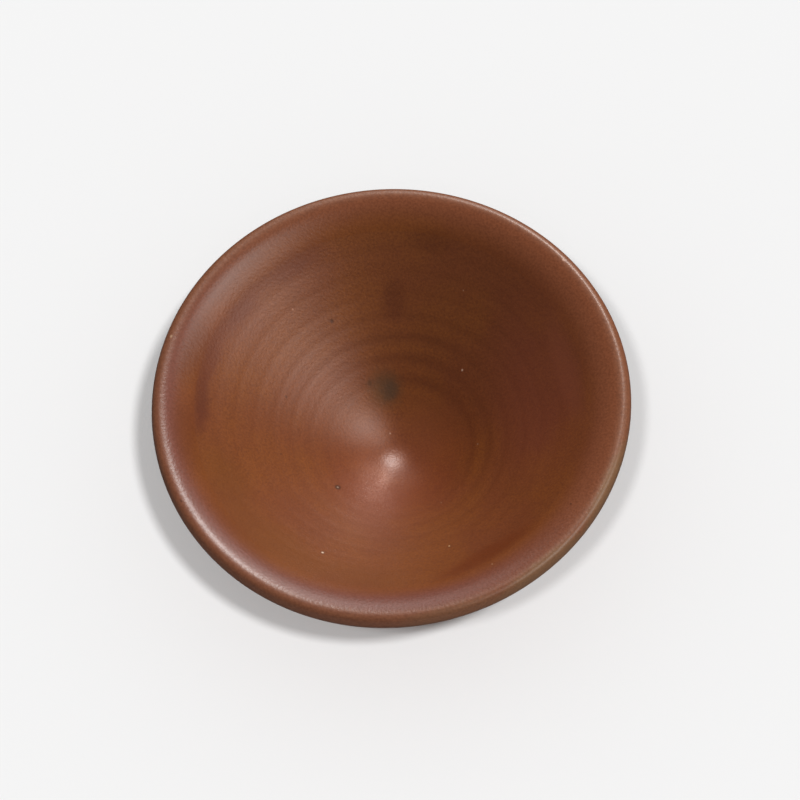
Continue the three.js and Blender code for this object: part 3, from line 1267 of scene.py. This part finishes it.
@dataclass
class Studio:
    """Pale floor, soft lamps and the camera at the photograph's viewing angle, in metres and radians."""

    elevation: float = math.radians(64.93)  # of the camera
    roll: float = math.radians(6.39)  # of the camera
    distance: float = 1.2  # from the aim to the camera
    aim: tuple[float, float, float] = (0.0, 0.0, 0.0455)
    aim_pixel: tuple[float, float] = (390.33, 403.68)  # where the aim falls in the image
    focal_pixels: float = 4434.0
    image_pixels: float = 800.0
    sensor: float = 36.0  # millimetres
    floor_size: float = 6.0
    floor_gap: float = 0.05 * MM  # between the floor and the foot, so that no two faces coincide
    floor_colour: str = "#f0f0f0"
    mirrored_floor: str = "#3c3c3c"  # the floor as the glaze mirrors it, so that the lip keeps a dark edge
    room_light: float = 0.35
    room_sheen: float = 0.03  # the room as the glaze mirrors it

    def build(self, pieces: list[Object]) -> None:
        """Lay the floor, hang the lamps and set the camera.

        Args:
            pieces: the bowl's pieces, which the softboxes light.
        """
        floor = self.floor()
        self.light(SOFTBOXES, "lit_by_softboxes", pieces)
        self.light(FLOOR_LAMPS, "lit_by_floor_lamps", [floor])
        self.room()
        self.camera()

    def floor(self) -> Object:
        """Lay a plain pale board of matt card under the foot.

        Returns:
            The floor.
        """
        board = bpy.data.materials.new("pale_matte_board")
        board.use_nodes = True
        tree = board.node_tree
        mirrored = add_node(tree, "ShaderNodeLightPath").outputs["Is Glossy Ray"]
        tones = {0: mirrored, MIX_A: linear(self.floor_colour), MIX_B: linear(self.mirrored_floor)}
        tone = add_node(tree, MIX, tones, data_type="RGBA").outputs[MIX_RESULT]
        matt = {"Base Color": tone, "Roughness": 1.0, "Specular IOR Level": 0.0}
        feed(tree, tree.nodes["Principled BSDF"], matt)
        mesh = bpy.data.meshes.new("floor")
        half = self.floor_size / 2
        corners = [(-half, -half, 0), (half, -half, 0), (half, half, 0), (-half, half, 0)]
        mesh.from_pydata(corners, [], [(0, 1, 2, 3)])
        mesh.materials.append(board)
        floor = bpy.data.objects.new("floor", mesh)
        floor.location.z = -self.floor_gap
        bpy.context.scene.collection.objects.link(floor)
        return floor

    def light(self, lamps: tuple[Softbox | FloorLamp, ...], group: str, lit: list[Object]) -> None:
        """Hang lamps that light only some of the objects.

        Args:
            lamps: the lamps to hang.
            group: name for the group of lit objects.
            lit: the objects that they light.
        """
        receivers = bpy.data.collections.new(group)
        for piece in lit:
            receivers.objects.link(piece)
        for lamp in lamps:
            for source in lamp.hang():
                source.light_linking.receiver_collection = receivers

    def room(self) -> None:
        """Set the even light of a pale room, which the camera sees in the floor's own tone."""
        world = bpy.data.worlds.new("pale_room")
        world.use_nodes = True
        tree = world.node_tree
        path = add_node(tree, "ShaderNodeLightPath").outputs
        by_ray = {0: path["Is Glossy Ray"], 3: self.room_light, 4: self.room_sheen}
        lit = add_node(tree, RANGE, by_ray).outputs[0]
        strength = add_node(tree, RANGE, {0: path["Is Camera Ray"], 3: lit, 4: 1.0}).outputs[0]
        pale = {"Color": linear(self.floor_colour), "Strength": strength}
        feed(tree, tree.nodes["Background"], pale)
        bpy.context.scene.world = world

    def camera(self) -> None:
        """Set the camera so that the aim point falls on its pixel, with no shift."""
        right = Vector((1, 0, 0))
        back = Vector((0, -math.cos(self.elevation), math.sin(self.elevation)))
        up = back.cross(right)
        rolled_right = right * math.cos(self.roll) - up * math.sin(self.roll)
        rolled_up = up * math.cos(self.roll) + right * math.sin(self.roll)
        metres_per_pixel = self.distance / self.focal_pixels
        middle = self.image_pixels / 2
        place = Vector(self.aim) + back * self.distance
        place += rolled_right * (middle - self.aim_pixel[0]) * metres_per_pixel
        place += rolled_up * (self.aim_pixel[1] - middle) * metres_per_pixel
        data = bpy.data.cameras.new("camera")
        data.sensor_width = self.sensor
        data.lens = self.focal_pixels / self.image_pixels * self.sensor
        camera = bpy.data.objects.new("camera", data)
        axes = Matrix((rolled_right, rolled_up, back)).transposed().to_4x4()
        camera.matrix_world = Matrix.Translation(place) @ axes
        bpy.context.scene.collection.objects.link(camera)
        bpy.context.scene.camera = camera


def main() -> None:
    """Build the bowl and the studio, in order."""
    logging.basicConfig(level=logging.INFO, format="%(name)s: %(message)s")
    bpy.context.scene.view_settings.view_transform = "Standard"
    lip_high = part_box("lip_glaze")[1]
    foot_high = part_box("foot_ring")[1]
    outline = ClayOutline(
        rim_radius=lip_high[0] / MM,
        height=lip_high[2] / MM,
        joint_height=foot_high[2] / MM,
        joint_radius=foot_high[0] / MM,
    )
    marks = ThrowingMarks()
    pieces = ClayBody(outline, marks).build() + GlazeCoats(outline, marks).build()
    Studio().build(pieces)


if __name__ == "__main__":
    main()
